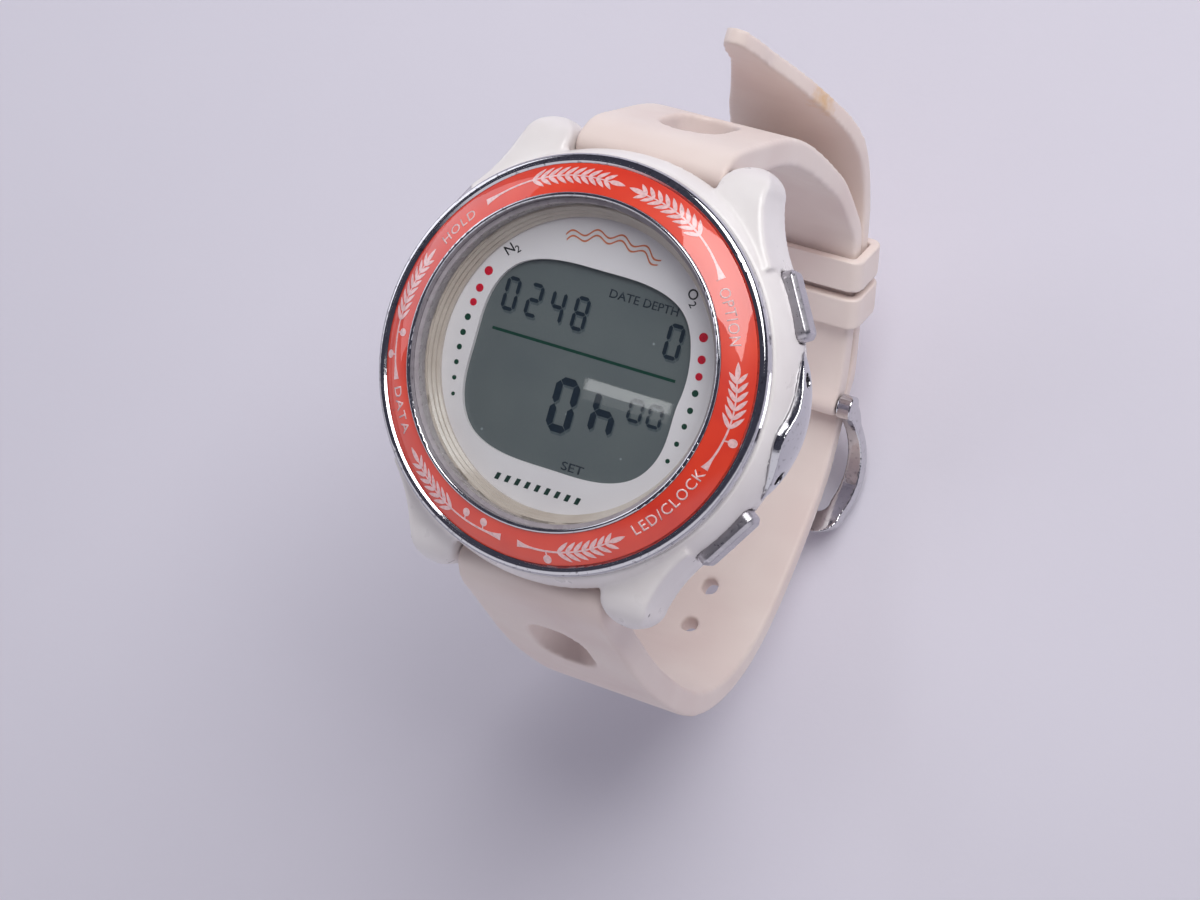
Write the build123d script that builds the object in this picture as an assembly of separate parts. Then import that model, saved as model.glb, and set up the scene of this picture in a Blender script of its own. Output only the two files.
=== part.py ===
"""A wrist-worn dive computer: round case with a printed bezel, four pushers and a buckled rubber strap.

The dial faces +Z and 12 o'clock lies along +Y.  The origin is the middle of the case back's outer face.
"""

from build123d import *
from math import cos, radians, sin
import os

os.makedirs("parts", exist_ok=True)

# Case and bezel, all in millimetres
CASE_BASE_Z = 1.2
CASE_TOP_Z = 10.4
CASE_WAIST_R = 23.9
CASE_WAIST_Z = 5.4
SHOULDER_R = 22.65
MODULE_BORE_R = 18.2
MODULE_TOP_Z = 9.8
GLASS_BORE_R = 17.5
BEZEL_R = 22.5
INSERT_OUTER_R = 21.33
INSERT_INNER_R = 18.02
INSERT_OUTER_Z = 12.2
INSERT_INNER_Z = 14.0
CRYSTAL_R = 17.0
CRYSTAL_BASE_Z = 11.55
CRYSTAL_TOP_Z = 13.3

# Display stack
DIAL_R = 17.4
DIAL_TOP_Z = 9.75
DIAL_THICKNESS = 0.55
WINDOW_HALF_WIDTH = 12.45
WINDOW_HALF_HEIGHT = 10.95
WINDOW_Y = -0.5
LCD_SIZE = (25.6, 22.6, 1.0)
MODULE_R = 17.9
BOARD_R = 16.8
BOARD_Z = 4.2
BOARD_THICKNESS = 0.6
BATTERY_R = 10.0
BATTERY_THICKNESS = 2.5
BATTERY_XY = (-5.2, 1.5)
SENSOR_XY = (10.6, -6.6)

# Case back
BACK_R = 21.2
BACK_SCREW_CIRCLE_R = 20.0
BACK_SCREW_ANGLES = (60, 120, 240, 300)
BACK_SCREW_HEAD_R = 0.88
SCREW_SHANK_R = 0.5
SCREW_SINK = 0.12
SCREW_SLOT_WIDTH = 0.22
SEAL_GROOVE_R = (19.2, 18.4)
PORT_R = 0.3
PORT_SPREAD = 1.2

# Lugs and strap
LUG_INNER_X = 9.05
STRAP_WIDTH = 17.9
BAR_Y = 23.5
BAR_Z = 4.4
BAR_R = 0.75
BAR_PIN_R = 0.45
STRAP_ROOT_R = 1.9
STRAP_ROOT_THICKNESS = 3.8
SHORT_STRAP_THICKNESS = 2.4
STRAP_TAIL_THICKNESS = 2.0
STRAP_TIP_THICKNESS = 1.9
STRAP_PLAY = 0.1
SHORT_STRAP_DEPTH = STRAP_TAIL_THICKNESS + STRAP_PLAY
SHORT_STRAP_STATION = 11.0
SHORT_BEND_RUN = 2.45
SHORT_BEND_DIRECTION = Vector(-0.39, -0.92).normalized()
HOLE_PITCH = 6.8
HOLE_SIZE = (2.3, 2.0)
STRETCHED_HOLE_SIZE = (5.2, 2.6)
FIRST_HOLE_TO_KEEPERS = 14.7
VENT_SIZE = (11.0, 7.4)
LONG_VENT_SHARE = 0.155
SHORT_VENT_SHARE = 0.262

# The stretch under the keepers is straight, and everything on it is set from this line
KEEPER_LINE_START = Vector(14.5, -52.2)
KEEPER_LINE_END = Vector(25.5, -45.16)
KEEPER_LENGTH = 4.2
KEEPER_WALL = 1.2
KEEPER_INSIDE = (18.4, 5.0)
KEEPER_STATIONS = {"keeper_fixed": 3.0, "keeper_free": 8.3}

# Buckle
BUCKLE_BAR_Y = 2.7
BUCKLE_BAR_Z = -53.2
BUCKLE_BAR_R = 0.75
BUCKLE_RING_R = 1.55
BUCKLE_BAND_THICKNESS = 2.3
TANG_THICKNESS = 1.2
TANG_WIDTH = 1.8
TANG_EYE = (1.3, 2.4)

# Pushers
PUSHER_ANGLES = {"upper_right": 31.4, "upper_left": 148.6, "lower_left": 212.5, "lower_right": 327.5}
PUSHER_Z = 5.0
PUSHER_CAP = (7.7, 3.0)
PUSHER_CAP_BACK_R = 23.3
PUSHER_CAP_FACE_R = 25.0
PUSHER_CAP_CORNER_R = 1.0
PUSHER_CAP_BEVEL = 0.45
PUSHER_POCKET_R = 22.4
PUSHER_STEM_R = 0.8
PUSHER_STEM_END_R = 17.7
PUSHER_PLAY = 0.12
SLEEVE_R = 1.49
SLEEVE_ENDS_R = (18.35, 20.9)
SPRING_COIL_R = 1.15
SPRING_WIRE_R = 0.13
SPRING_PITCH = 0.62
SPRING_START_R = 21.15

# Side guards
GUARD_HALF_LENGTH = 8.2
GUARD_INNER_R = 22.9
GUARD_OUTER_R = 14.8
GUARD_CENTRE_X = 10.15
GUARD_SCREW_Y = 5.3
GUARD_SCREW_Z = 5.0
GUARD_SCREW_HEAD_X = (22.7, 23.3)
GUARD_SCREW_HEAD_R = 0.75
GUARD_SCREW_END_X = 20.0


def turned(*points):
    """A solid turned about Z from an outline of (radius, height) points."""
    return revolve(Plane.XZ * make_face(Polyline(*points, close=True)), Axis.Z)


def ring(outer_r, inner_r, low_z, high_z):
    """A plain ring about Z."""
    return turned((inner_r, low_z), (outer_r, low_z), (outer_r, high_z), (inner_r, high_z))


def disc(radius, low_z, high_z, x=0, y=0):
    """A plain disc or pin standing along Z."""
    return Pos(x, y, low_z) * extrude(Circle(radius), high_z - low_z)


def block(size, low_z, x=0, y=0):
    """A rectangular block standing on the given height."""
    return Pos(x, y, low_z) * extrude(Rectangle(size[0], size[1]), size[2])


def rod_along_x(radius, x_from, x_to, y, z):
    """A round rod parallel to X."""
    return Plane(origin=(x_from, y, z), z_dir=(1, 0, 0)) * extrude(Circle(radius), x_to - x_from)


def side_prism(face, x_from, x_to):
    """A (Y, Z) outline pushed along X."""
    return Pos(x_from, 0, 0) * extrude(Plane.YZ * face, x_to - x_from)


def circle_points(radius, angles):
    """Points on a circle about the origin, one at each angle."""
    return [(radius * cos(radians(angle)), radius * sin(radians(angle))) for angle in angles]


def back_screw_places():
    """Where the four screws of the back stand."""
    return circle_points(BACK_SCREW_CIRCLE_R, BACK_SCREW_ANGLES)


def radial_place(angle):
    """A place on the case's side: local Z points outward, local Y points up."""
    turn = radians(angle)
    return Plane(
        origin=(0, 0, PUSHER_Z),
        x_dir=(-sin(turn), cos(turn), 0),
        z_dir=(cos(turn), sin(turn), 0),
    )


def radial_rod(angle, radius, from_r, to_r):
    """A round rod on a pusher's axis."""
    return radial_place(angle) * (Pos(0, 0, from_r) * extrude(Circle(radius), to_r - from_r))


def radial_ring(angle, outer_r, inner_r, from_r, to_r):
    """A ring on a pusher's axis."""
    band = Circle(outer_r) - Circle(inner_r)
    return radial_place(angle) * (Pos(0, 0, from_r) * extrude(band, to_r - from_r))


def mirrored(shape):
    """The shape's other hand, across the 12 to 6 o'clock plane."""
    return mirror(shape, about=Plane.YZ)


def save(name, shape):
    """Write one named sub-part."""
    export_step(shape, f"parts/{name}.step")


# ---------------------------------------------------------------- case


def case_barrel():
    """The round middle of the case, solid through."""
    outline = [
        Line((0, CASE_BASE_Z), (22.3, CASE_BASE_Z)),
        ThreePointArc((22.3, CASE_BASE_Z), (23.45, 2.7), (CASE_WAIST_R, CASE_WAIST_Z)),
        ThreePointArc((CASE_WAIST_R, CASE_WAIST_Z), (23.5, 8.2), (SHOULDER_R, CASE_TOP_Z)),
        Line((SHOULDER_R, CASE_TOP_Z), (0, CASE_TOP_Z)),
        Line((0, CASE_TOP_Z), (0, CASE_BASE_Z)),
    ]
    return revolve(Plane.XZ * make_face(outline), Axis.Z)


def lug():
    """The lug at 1 o'clock: a tongue that droops towards its tip."""
    plan = make_face(
        [
            Line((LUG_INNER_X, 14), (LUG_INNER_X, 22.8)),
            ThreePointArc((LUG_INNER_X, 22.8), (9.9, 24.7), (12.0, 25.5)),
            ThreePointArc((12.0, 25.5), (13.8, 24.8), (14.6, 22.8)),
            ThreePointArc((14.6, 22.8), (15.7, 19.4), (18.1, 15.6)),
            Line((18.1, 15.6), (17.0, 14)),
            Line((17.0, 14), (LUG_INNER_X, 14)),
        ]
    )
    side = make_face(
        [
            Line((13, CASE_BASE_Z), (22.4, CASE_BASE_Z)),
            ThreePointArc((22.4, CASE_BASE_Z), (24.6, 1.9), (25.6, 3.8)),
            ThreePointArc((25.6, 3.8), (24.4, 6.6), (21.2, 8.5)),
            Line((21.2, 8.5), (13, 10.3)),
            Line((13, 10.3), (13, CASE_BASE_Z)),
        ]
    )
    tongue = extrude(plan, 12) & side_prism(side, 5, 22)
    tip_edges = tongue.edges().filter_by_position(Axis.Y, 21, 27).filter_by_position(Axis.Z, 3, 9)
    return fillet(tip_edges, 0.5)


def guard_lens():
    """The 3 o'clock guard's outline seen from the side, with its top edge swelling below the middle."""
    half = GUARD_HALF_LENGTH
    top = Spline((half, 4.6), (5.2, 6.4), (2.0, 7.1), (-0.9, 8.4), (-3.9, 7.7), (-half, 4.6))
    bottom = ThreePointArc((-half, 4.6), (0, 2.0), (half, 4.6))
    return side_prism(make_face([top, bottom]), 15, 27)


def guard_screw_hole(y):
    """The sunk hole of one guard screw."""
    seat_x = GUARD_SCREW_HEAD_X[0]
    well = rod_along_x(GUARD_SCREW_HEAD_R + 0.05, seat_x, 27, y, GUARD_SCREW_Z)
    return well + rod_along_x(SCREW_SHANK_R, GUARD_SCREW_END_X, seat_x + 0.1, y, GUARD_SCREW_Z)


def side_guard():
    """The mirror-finished plate let into the case at 3 o'clock."""
    bulge = revolve(
        Plane(origin=(GUARD_CENTRE_X, 0, 0), x_dir=(-1, 0, 0), z_dir=(0, 1, 0))
        * make_face(
            [
                Line((0, 1), (13.6, 1)),
                ThreePointArc((13.6, 1), (GUARD_OUTER_R, 5.0), (13.6, 9.6)),
                Line((13.6, 9.6), (0, 9.6)),
                Line((0, 9.6), (0, 1)),
            ]
        ),
        Axis((GUARD_CENTRE_X, 0, 0), (0, 0, 1)),
    )
    plate = (guard_lens() & bulge) - Rot(0, 0, 90) * disc(GUARD_INNER_R, 0, 12)
    return plate - guard_screw_hole(-GUARD_SCREW_Y) - guard_screw_hole(GUARD_SCREW_Y)


def guard_screws():
    """Four small screws, two in each guard, heads sunk below the surface."""
    screws = []
    for y in (-GUARD_SCREW_Y, GUARD_SCREW_Y):
        seat_x, top_x = GUARD_SCREW_HEAD_X
        head = rod_along_x(GUARD_SCREW_HEAD_R, seat_x, top_x, y, GUARD_SCREW_Z)
        slot = Pos(top_x, y, GUARD_SCREW_Z) * Box(0.4, SCREW_SLOT_WIDTH, 2)
        screw = (head - slot) + rod_along_x(SCREW_SHANK_R, GUARD_SCREW_END_X, seat_x, y, GUARD_SCREW_Z)
        screws += [screw, mirrored(screw)]
    return Compound(children=screws)


def case_body():
    """Barrel and lugs in one moulding, bored for the module, the pushers, the guards and the screws."""
    right_lugs = lug() + mirror(lug(), about=Plane.XZ)
    body = case_barrel() + right_lugs + mirrored(right_lugs)
    body -= disc(MODULE_BORE_R, 0, MODULE_TOP_Z)
    body -= disc(GLASS_BORE_R, 0, CASE_TOP_Z + 1)
    body -= ring(*SEAL_GROOVE_R, 1.0, 1.75)
    for side in (-1, 1):
        body -= Pos(0, side * (21.3 + 5), 2.6) * Box(2 * LUG_INNER_X, 10, 9.2)
        bar_y = side * BAR_Y
        body -= rod_along_x(BAR_PIN_R, -10.6, 10.6, bar_y, BAR_Z)
    guard_recess = guard_lens() - Rot(0, 0, 90) * disc(GUARD_INNER_R - 0.02, 0, 12)
    body -= guard_recess + mirrored(guard_recess)
    for y in (-GUARD_SCREW_Y, GUARD_SCREW_Y):
        hole = guard_screw_hole(y)
        body -= hole + mirrored(hole)
    length, width = [size + 2 * PUSHER_PLAY for size in PUSHER_CAP]
    pocket = RectangleRounded(length, width, PUSHER_CAP_CORNER_R + PUSHER_PLAY)
    for angle in PUSHER_ANGLES.values():
        body -= radial_place(angle) * (Pos(0, 0, PUSHER_POCKET_R) * extrude(pocket, 6))
        body -= radial_rod(angle, SLEEVE_R + 0.01, 15, PUSHER_POCKET_R + 1)
    for x, y in back_screw_places():
        body -= disc(SCREW_SHANK_R, 0, 3.4, x, y)
    return body


def bezel_ring():
    """The polished ring that holds the printed insert and the glass."""
    outline = [
        Line((GLASS_BORE_R + 0.02, CASE_TOP_Z), (BEZEL_R - 0.3, CASE_TOP_Z)),
        Line((BEZEL_R - 0.3, CASE_TOP_Z), (BEZEL_R, CASE_TOP_Z + 0.4)),
        Line((BEZEL_R, CASE_TOP_Z + 0.4), (BEZEL_R, 11.7)),
        ThreePointArc((BEZEL_R, 11.7), (22.2, 12.25), (21.6, 12.35)),
        Line((21.6, 12.35), (INSERT_OUTER_R + 0.03, 12.2)),
        Line((INSERT_OUTER_R + 0.03, 12.2), (INSERT_OUTER_R + 0.03, 11.5)),
        Line((INSERT_OUTER_R + 0.03, 11.5), (INSERT_INNER_R - 0.02, 13.3)),
        Line((INSERT_INNER_R - 0.02, 13.3), (INSERT_INNER_R - 0.02, 14.1)),
        ThreePointArc((INSERT_INNER_R - 0.02, 14.1), (17.78, 14.28), (GLASS_BORE_R + 0.02, 14.1)),
        Line((GLASS_BORE_R + 0.02, 14.1), (GLASS_BORE_R + 0.02, CASE_TOP_Z)),
    ]
    return revolve(Plane.XZ * make_face(outline), Axis.Z)


def bezel_insert():
    """The domed coloured ring that carries the decoration."""
    outline = [
        Line((INSERT_OUTER_R, 11.55), (INSERT_OUTER_R, INSERT_OUTER_Z)),
        ThreePointArc((INSERT_OUTER_R, INSERT_OUTER_Z), (19.75, 13.25), (INSERT_INNER_R, INSERT_INNER_Z)),
        Line((INSERT_INNER_R, INSERT_INNER_Z), (INSERT_INNER_R, 13.33)),
        Line((INSERT_INNER_R, 13.33), (INSERT_OUTER_R, 11.55)),
    ]
    return revolve(Plane.XZ * make_face(outline), Axis.Z)


def crystal():
    """The flat glass with a bevelled top edge."""
    return turned(
        (0, CRYSTAL_BASE_Z),
        (CRYSTAL_R, CRYSTAL_BASE_Z),
        (CRYSTAL_R, CRYSTAL_TOP_Z - 0.3),
        (CRYSTAL_R - 0.3, CRYSTAL_TOP_Z),
        (0, CRYSTAL_TOP_Z),
    )


def flange_ring():
    """The stepped wall between glass and dial."""
    return turned(
        (17.45, MODULE_TOP_Z),
        (17.45, CRYSTAL_BASE_Z),
        (16.8, CRYSTAL_BASE_Z),
        (16.8, 11.35),
        (16.5, 11.2),
        (16.5, 10.85),
        (16.2, 10.7),
        (16.2, 10.35),
        (15.9, 10.2),
        (15.9, MODULE_TOP_Z),
    )


# ---------------------------------------------------------------- display and module


def window_outline():
    """The display opening: a rounded square whose sides bulge."""
    w, h = WINDOW_HALF_WIDTH, WINDOW_HALF_HEIGHT
    quarter = [(w, 0), (0.975 * w, 0.5 * h), (0.82 * w, 0.82 * h), (0.5 * w, 0.975 * h), (0, h)]
    upper_half = quarter + [(-x, y) for x, y in quarter[-2::-1]]
    lower_half = [(x, -y) for x, y in upper_half[-2:0:-1]]
    return Pos(0, WINDOW_Y) * make_face(Spline(*upper_half, *lower_half, periodic=True))


def dial_plate():
    """The printed plate with the display window."""
    plate = disc(DIAL_R, DIAL_TOP_Z - DIAL_THICKNESS, DIAL_TOP_Z)
    return plate - Pos(0, 0, DIAL_TOP_Z - 1) * extrude(window_outline(), 2)


def module_frame():
    """The plastic tray that holds glass cell, backlight and board, notched for the pusher stems."""
    tray = disc(MODULE_R, 5.0, 9.15) - block((LCD_SIZE[0] + 0.1, LCD_SIZE[1] + 0.1, 10), 2, 0, WINDOW_Y)
    for angle in PUSHER_ANGLES.values():
        tray -= radial_place(angle) * (Pos(0, 0, 16.6) * extrude(Rectangle(3.4, 10), 4))
    return tray


def zebra_strips():
    """Two rubber connector strips between the display cell and the board."""
    strips = [block((22, 1.3, 3.2), 4.8, 0, WINDOW_Y + side * 10.4) for side in (-1, 1)]
    return Compound(children=strips)


def circuit_board():
    """The round board, with a locating notch at 3 and at 9 o'clock."""
    board = disc(BOARD_R, BOARD_Z, BOARD_Z + BOARD_THICKNESS)
    for angle in (0, 180):
        board -= Rot(0, 0, angle) * (Pos(BOARD_R, 0, BOARD_Z) * extrude(Circle(1.2), 2))
    return board


def board_components():
    """The processor and the small parts under the board."""
    parts = [
        block((5.6, 5.6, 0.9), BOARD_Z - 0.9, 10.2, 5.6),
        block((1.6, 3.8, 0.8), BOARD_Z - 0.8, 8.6, 11.0),
        block((1.2, 0.7, 0.6), BOARD_Z - 0.6, 12.6, 0.6),
        block((1.2, 0.7, 0.6), BOARD_Z - 0.6, 10.4, 0.6),
        block((1.2, 0.7, 0.6), BOARD_Z - 0.6, 5.4, -12.6),
    ]
    return Compound(children=parts)


def battery_contact():
    """The spring leaf between the cell and the board."""
    x, y = BATTERY_XY
    return block((7.0, 2.2, 0.15), BOARD_Z - 0.17, x, y) + block((2.2, 2.2, 0.2), BOARD_Z - 0.35, x, y)


def battery():
    """The replaceable coin cell, with its stepped negative side."""
    x, y = BATTERY_XY
    return disc(BATTERY_R, 1.3, 3.4, x, y) + disc(BATTERY_R - 1.2, 3.4, 1.3 + BATTERY_THICKNESS, x, y)


def pressure_sensor():
    """The depth sensor's can, its nose toward the ports in the back."""
    x, y = SENSOR_XY
    return disc(3.0, 1.9, BOARD_Z, x, y) + disc(2.0, 1.25, 1.9, x, y)


def sensor_seal():
    """The rubber ring round the sensor's nose."""
    x, y = SENSOR_XY
    return Pos(x, y, 1.55) * Torus(2.4, 0.33)


# ---------------------------------------------------------------- case back


def case_back():
    """The steel back with screw holes and the sensor's water ports."""
    back = disc(BACK_R, 0, CASE_BASE_Z)
    rim = back.edges().filter_by(GeomType.CIRCLE).sort_by(Axis.Z)[0]
    back = chamfer(rim, 0.3)
    for x, y in back_screw_places():
        back -= disc(SCREW_SHANK_R + 0.05, -1, 2, x, y) + disc(BACK_SCREW_HEAD_R + 0.07, -1, 0.7, x, y)
    for x, y in [(0, 0)] + circle_points(PORT_SPREAD, range(0, 360, 90)):
        back -= disc(PORT_R, -1, 2, SENSOR_XY[0] + x, SENSOR_XY[1] + y)
    return back


def case_back_screws():
    """The four slotted screws that hold the back on."""
    screws = []
    for x, y in back_screw_places():
        screw = disc(BACK_SCREW_HEAD_R, SCREW_SINK, 0.7, x, y) + disc(SCREW_SHANK_R, 0.7, 3.2, x, y)
        screws.append(screw - Pos(x, y, SCREW_SINK) * Box(2, SCREW_SLOT_WIDTH, 0.5))
    return Compound(children=screws)


# ---------------------------------------------------------------- pushers


def pusher(angle):
    """A bar-shaped steel button with its stem, grooved for the seal and the clip."""
    cap_height = PUSHER_CAP_FACE_R - PUSHER_CAP_BACK_R
    cap = Pos(0, 0, PUSHER_CAP_BACK_R) * extrude(
        RectangleRounded(*PUSHER_CAP, PUSHER_CAP_CORNER_R), cap_height
    )
    cap = chamfer(cap.edges().group_by(Axis.Z)[-1], PUSHER_CAP_BEVEL)
    stem = Pos(0, 0, PUSHER_STEM_END_R) * extrude(
        Circle(PUSHER_STEM_R), PUSHER_CAP_BACK_R - PUSHER_STEM_END_R
    )
    stem -= Pos(0, 0, 17.95) * extrude(Circle(2) - Circle(0.6), 0.2)
    stem -= Pos(0, 0, 19.4) * extrude(Circle(2) - Circle(0.5), 0.4)
    return radial_place(angle) * (cap + stem)


def pusher_sleeves():
    """The four guide tubes pressed through the case wall."""
    tubes = []
    for angle in PUSHER_ANGLES.values():
        tubes.append(radial_ring(angle, SLEEVE_R, PUSHER_STEM_R + 0.05, *SLEEVE_ENDS_R))
    return Compound(children=tubes)


def pusher_seal(angle):
    """The ring in the stem's groove."""
    return radial_ring(angle, 0.82, 0.5, 19.42, 19.78)


def pusher_clip(angle):
    """The clip on the stem's inner end."""
    clip = Circle(1.25) - Circle(0.6) - Pos(0, -1) * Rectangle(0.8, 2)
    return radial_place(angle) * (Pos(0, 0, 17.96) * extrude(clip, 0.18))


def pusher_spring(angle):
    """The return coil between the sleeve and the cap."""
    coil = Helix(pitch=SPRING_PITCH, height=3 * SPRING_PITCH, radius=SPRING_COIL_R)
    wire = Plane(origin=coil @ 0, z_dir=coil % 0) * Circle(SPRING_WIRE_R)
    spring = sweep(wire, path=coil)
    return radial_place(angle) * (Pos(0, 0, SPRING_START_R) * spring)


# ---------------------------------------------------------------- strap and buckle


def keeper_direction():
    """The direction of the straight stretch, from the buckle towards the tail."""
    return (KEEPER_LINE_END - KEEPER_LINE_START).normalized()


def line_point(station, depth=0.0):
    """A (Y, Z) point on the straight stretch, measured inward from the strap's outer face."""
    along = keeper_direction()
    inward = Vector(-along.Y, along.X)
    return KEEPER_LINE_START + along * station + inward * depth


def band_face(outer, thick_from, thick_to, inward_sign):
    """A strap's side outline: the outer curve and one that runs inside it at a changing thickness."""
    steps = 14
    inner_points = []
    for step in range(steps + 1):
        share = step / steps
        along = outer % share
        inward = Vector(-along.Y, along.X) * inward_sign
        inner_points.append(outer @ share + inward * (thick_from + (thick_to - thick_from) * share))
    inner = Spline(*inner_points)
    return make_face([outer, Line(outer @ 1, inner @ 1), inner, Line(inner @ 0, outer @ 0)])


def outer_curve_long():
    """The long strap's outer face from the 6 o'clock lugs to the straight stretch."""
    points = [
        (-BAR_Y, BAR_Z + STRAP_ROOT_R),
        (-27.6, 1.4),
        (-33.2, -11.9),
        (-36.4, -22.4),
        (-38.1, -34.5),
        (-35.6, -43.6),
        (-30.4, -49.9),
        (-20.8, -54.8),
        (-12.5, -57.2),
        (-4.0, -58.0),
        (5.0, -56.6),
        KEEPER_LINE_START,
    ]
    return Spline(*points, tangents=[(-1, -0.25), keeper_direction()])


def outer_curve_tail():
    """The long strap's free tail, beyond the keepers."""
    points = [KEEPER_LINE_END, (29.6, -41.8), (34.5, -35.2), (37.2, -28.0), (39.0, -20.0), (40.8, -6.5)]
    return Spline(*points, tangents=[keeper_direction(), (0.12, 1)])


def short_bend_start():
    """Where the short strap's tight turn begins: as far before its corner as the straight stretch begins after it."""
    corner = line_point(SHORT_STRAP_STATION + SHORT_BEND_RUN, SHORT_STRAP_DEPTH)
    return corner - SHORT_BEND_DIRECTION * SHORT_BEND_RUN


def outer_curve_short():
    """The short strap's outer face from the 12 o'clock lugs to the turn before the straight stretch."""
    points = [
        (BAR_Y, BAR_Z + STRAP_ROOT_R),
        (27.8, 0.2),
        (30.4, -9.4),
        (30.85, -18.5),
        (29.6, -29.0),
        short_bend_start(),
    ]
    return Spline(*points, tangents=[(1, -0.25), SHORT_BEND_DIRECTION])


def outer_curve_short_bend():
    """The short strap's tight turn into the straight stretch."""
    end = line_point(SHORT_STRAP_STATION, SHORT_STRAP_DEPTH)
    return TangentArc(short_bend_start(), end, tangent=SHORT_BEND_DIRECTION)


def outer_curve_short_end():
    """The short strap's last stretch, from the keepers to the buckle bar."""
    start = line_point(0.0, SHORT_STRAP_DEPTH)
    end = (BUCKLE_BAR_Y, BUCKLE_BAR_Z - BUCKLE_RING_R)
    return Spline(start, (8.6, -53.0), end, tangents=[keeper_direction() * -1, (-1, -0.02)])


def strap_solid(face):
    """A strap piece of full width."""
    return side_prism(face, -STRAP_WIDTH / 2, STRAP_WIDTH / 2)


def cut_through(size, curve, share):
    """A stadium-shaped cutter that runs along the strap and passes straight through it."""
    place = curve @ share
    along = curve % share
    plane = Plane(
        origin=(0, place.X, place.Y), x_dir=(0, along.X, along.Y), z_dir=(0, -along.Y, along.X)
    )
    return plane * (Pos(0, 0, -6) * extrude(SlotOverall(*size), 12))


def strap_lower():
    """The long strap: root at 6 o'clock, adjusting holes, and a tapered tail past the keepers."""
    root_curve = outer_curve_long()
    tail_curve = outer_curve_tail()
    line = Line(KEEPER_LINE_START, KEEPER_LINE_END)
    root = band_face(root_curve, STRAP_ROOT_THICKNESS, STRAP_TAIL_THICKNESS, 1)
    middle = band_face(line, STRAP_TAIL_THICKNESS, STRAP_TAIL_THICKNESS, 1)
    tail = band_face(tail_curve, STRAP_TAIL_THICKNESS, STRAP_TIP_THICKNESS, 1)
    strap = strap_solid(root) + strap_solid(middle)
    strap += strap_solid(tail) & tail_plan()
    strap += rod_along_x(STRAP_ROOT_R, -STRAP_WIDTH / 2, STRAP_WIDTH / 2, -BAR_Y, BAR_Z)
    strap -= rod_along_x(BAR_R + 0.05, -12, 12, -BAR_Y, BAR_Z)
    strap -= cut_through(VENT_SIZE, root_curve, LONG_VENT_SHARE)
    for number in range(-1, 6):
        share = 1 - (FIRST_HOLE_TO_KEEPERS + number * HOLE_PITCH) / root_curve.length
        size = STRETCHED_HOLE_SIZE if number == 0 else HOLE_SIZE
        strap -= cut_through(size, root_curve, share)
    strap -= cut_through(HOLE_SIZE, line, 0.0)
    return strap


def tail_plan():
    """The tail's outline seen from 12 o'clock: straight sides that taper to a round tip."""
    half = STRAP_WIDTH / 2
    plan = make_face(
        [
            Line((-half, -60), (half, -60)),
            Line((half, -60), (half, -37.5)),
            ThreePointArc((half, -37.5), (half - 0.5, -32.9), (half - 1.9, -28.0)),
            Line((half - 1.9, -28.0), (2.6, -14.2)),
            ThreePointArc((2.6, -14.2), (2.15, -10.6), (1.5, -8.4)),
            ThreePointArc((1.5, -8.4), (0, -7.2), (-1.5, -8.4)),
            ThreePointArc((-1.5, -8.4), (-2.15, -10.6), (-2.6, -14.2)),
            Line((-2.6, -14.2), (-half + 1.9, -28.0)),
            ThreePointArc((-half + 1.9, -28.0), (-half + 0.5, -32.9), (-half, -37.5)),
            Line((-half, -37.5), (-half, -60)),
        ]
    )
    return extrude(Plane.XZ * plan, -60)


def strap_upper():
    """The short strap: root at 12 o'clock, and a slotted end that turns round the buckle bar."""
    curve = outer_curve_short()
    end_curve = outer_curve_short_end()
    line = Line(line_point(SHORT_STRAP_STATION, SHORT_STRAP_DEPTH), line_point(0.0, SHORT_STRAP_DEPTH))
    strap = strap_solid(band_face(curve, STRAP_ROOT_THICKNESS, SHORT_STRAP_THICKNESS, -1))
    for stretch in (outer_curve_short_bend(), line):
        strap += strap_solid(band_face(stretch, SHORT_STRAP_THICKNESS, SHORT_STRAP_THICKNESS, -1))
    strap += strap_solid(band_face(end_curve, SHORT_STRAP_THICKNESS, 2 * BUCKLE_RING_R, -1))
    strap += rod_along_x(STRAP_ROOT_R, -STRAP_WIDTH / 2, STRAP_WIDTH / 2, BAR_Y, BAR_Z)
    strap += rod_along_x(BUCKLE_RING_R, -STRAP_WIDTH / 2, STRAP_WIDTH / 2, BUCKLE_BAR_Y, BUCKLE_BAR_Z)
    strap -= rod_along_x(BAR_R + 0.05, -12, 12, BAR_Y, BAR_Z)
    strap -= rod_along_x(BUCKLE_BAR_R + 0.03, -12, 12, BUCKLE_BAR_Y, BUCKLE_BAR_Z)
    strap -= cut_through(VENT_SIZE, curve, SHORT_VENT_SHARE)
    strap -= Pos(0, BUCKLE_BAR_Y, BUCKLE_BAR_Z) * Box(3.0, 6.4, 6)
    return strap


def spring_bar(y):
    """A lug bar: a tube and the two sprung pins that stand out of its ends."""
    tube = rod_along_x(BAR_R, -8.7, 8.7, y, BAR_Z)
    pins = [rod_along_x(BAR_PIN_R, side * 8.7, side * 10.4, y, BAR_Z) for side in (-1, 1)]
    return Compound(children=[tube] + pins)


def buckle_bar():
    """The bar through the short strap's end that carries the frame and the tang."""
    return rod_along_x(BUCKLE_BAR_R, -10.7, 10.7, BUCKLE_BAR_Y, BUCKLE_BAR_Z)


def keeper(station):
    """A square rubber loop round both straps."""
    width, height = KEEPER_INSIDE
    middle = line_point(station, height / 2 - 0.2)
    along = keeper_direction()
    plane = Plane(origin=(0, middle.X, middle.Y), x_dir=(1, 0, 0), z_dir=(0, along.X, along.Y))
    wall = RectangleRounded(width + 2 * KEEPER_WALL, height + 2 * KEEPER_WALL, 1.5)
    wall -= RectangleRounded(width, height, 0.5)
    return plane * (Pos(0, 0, -KEEPER_LENGTH / 2) * extrude(wall, KEEPER_LENGTH))


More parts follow.
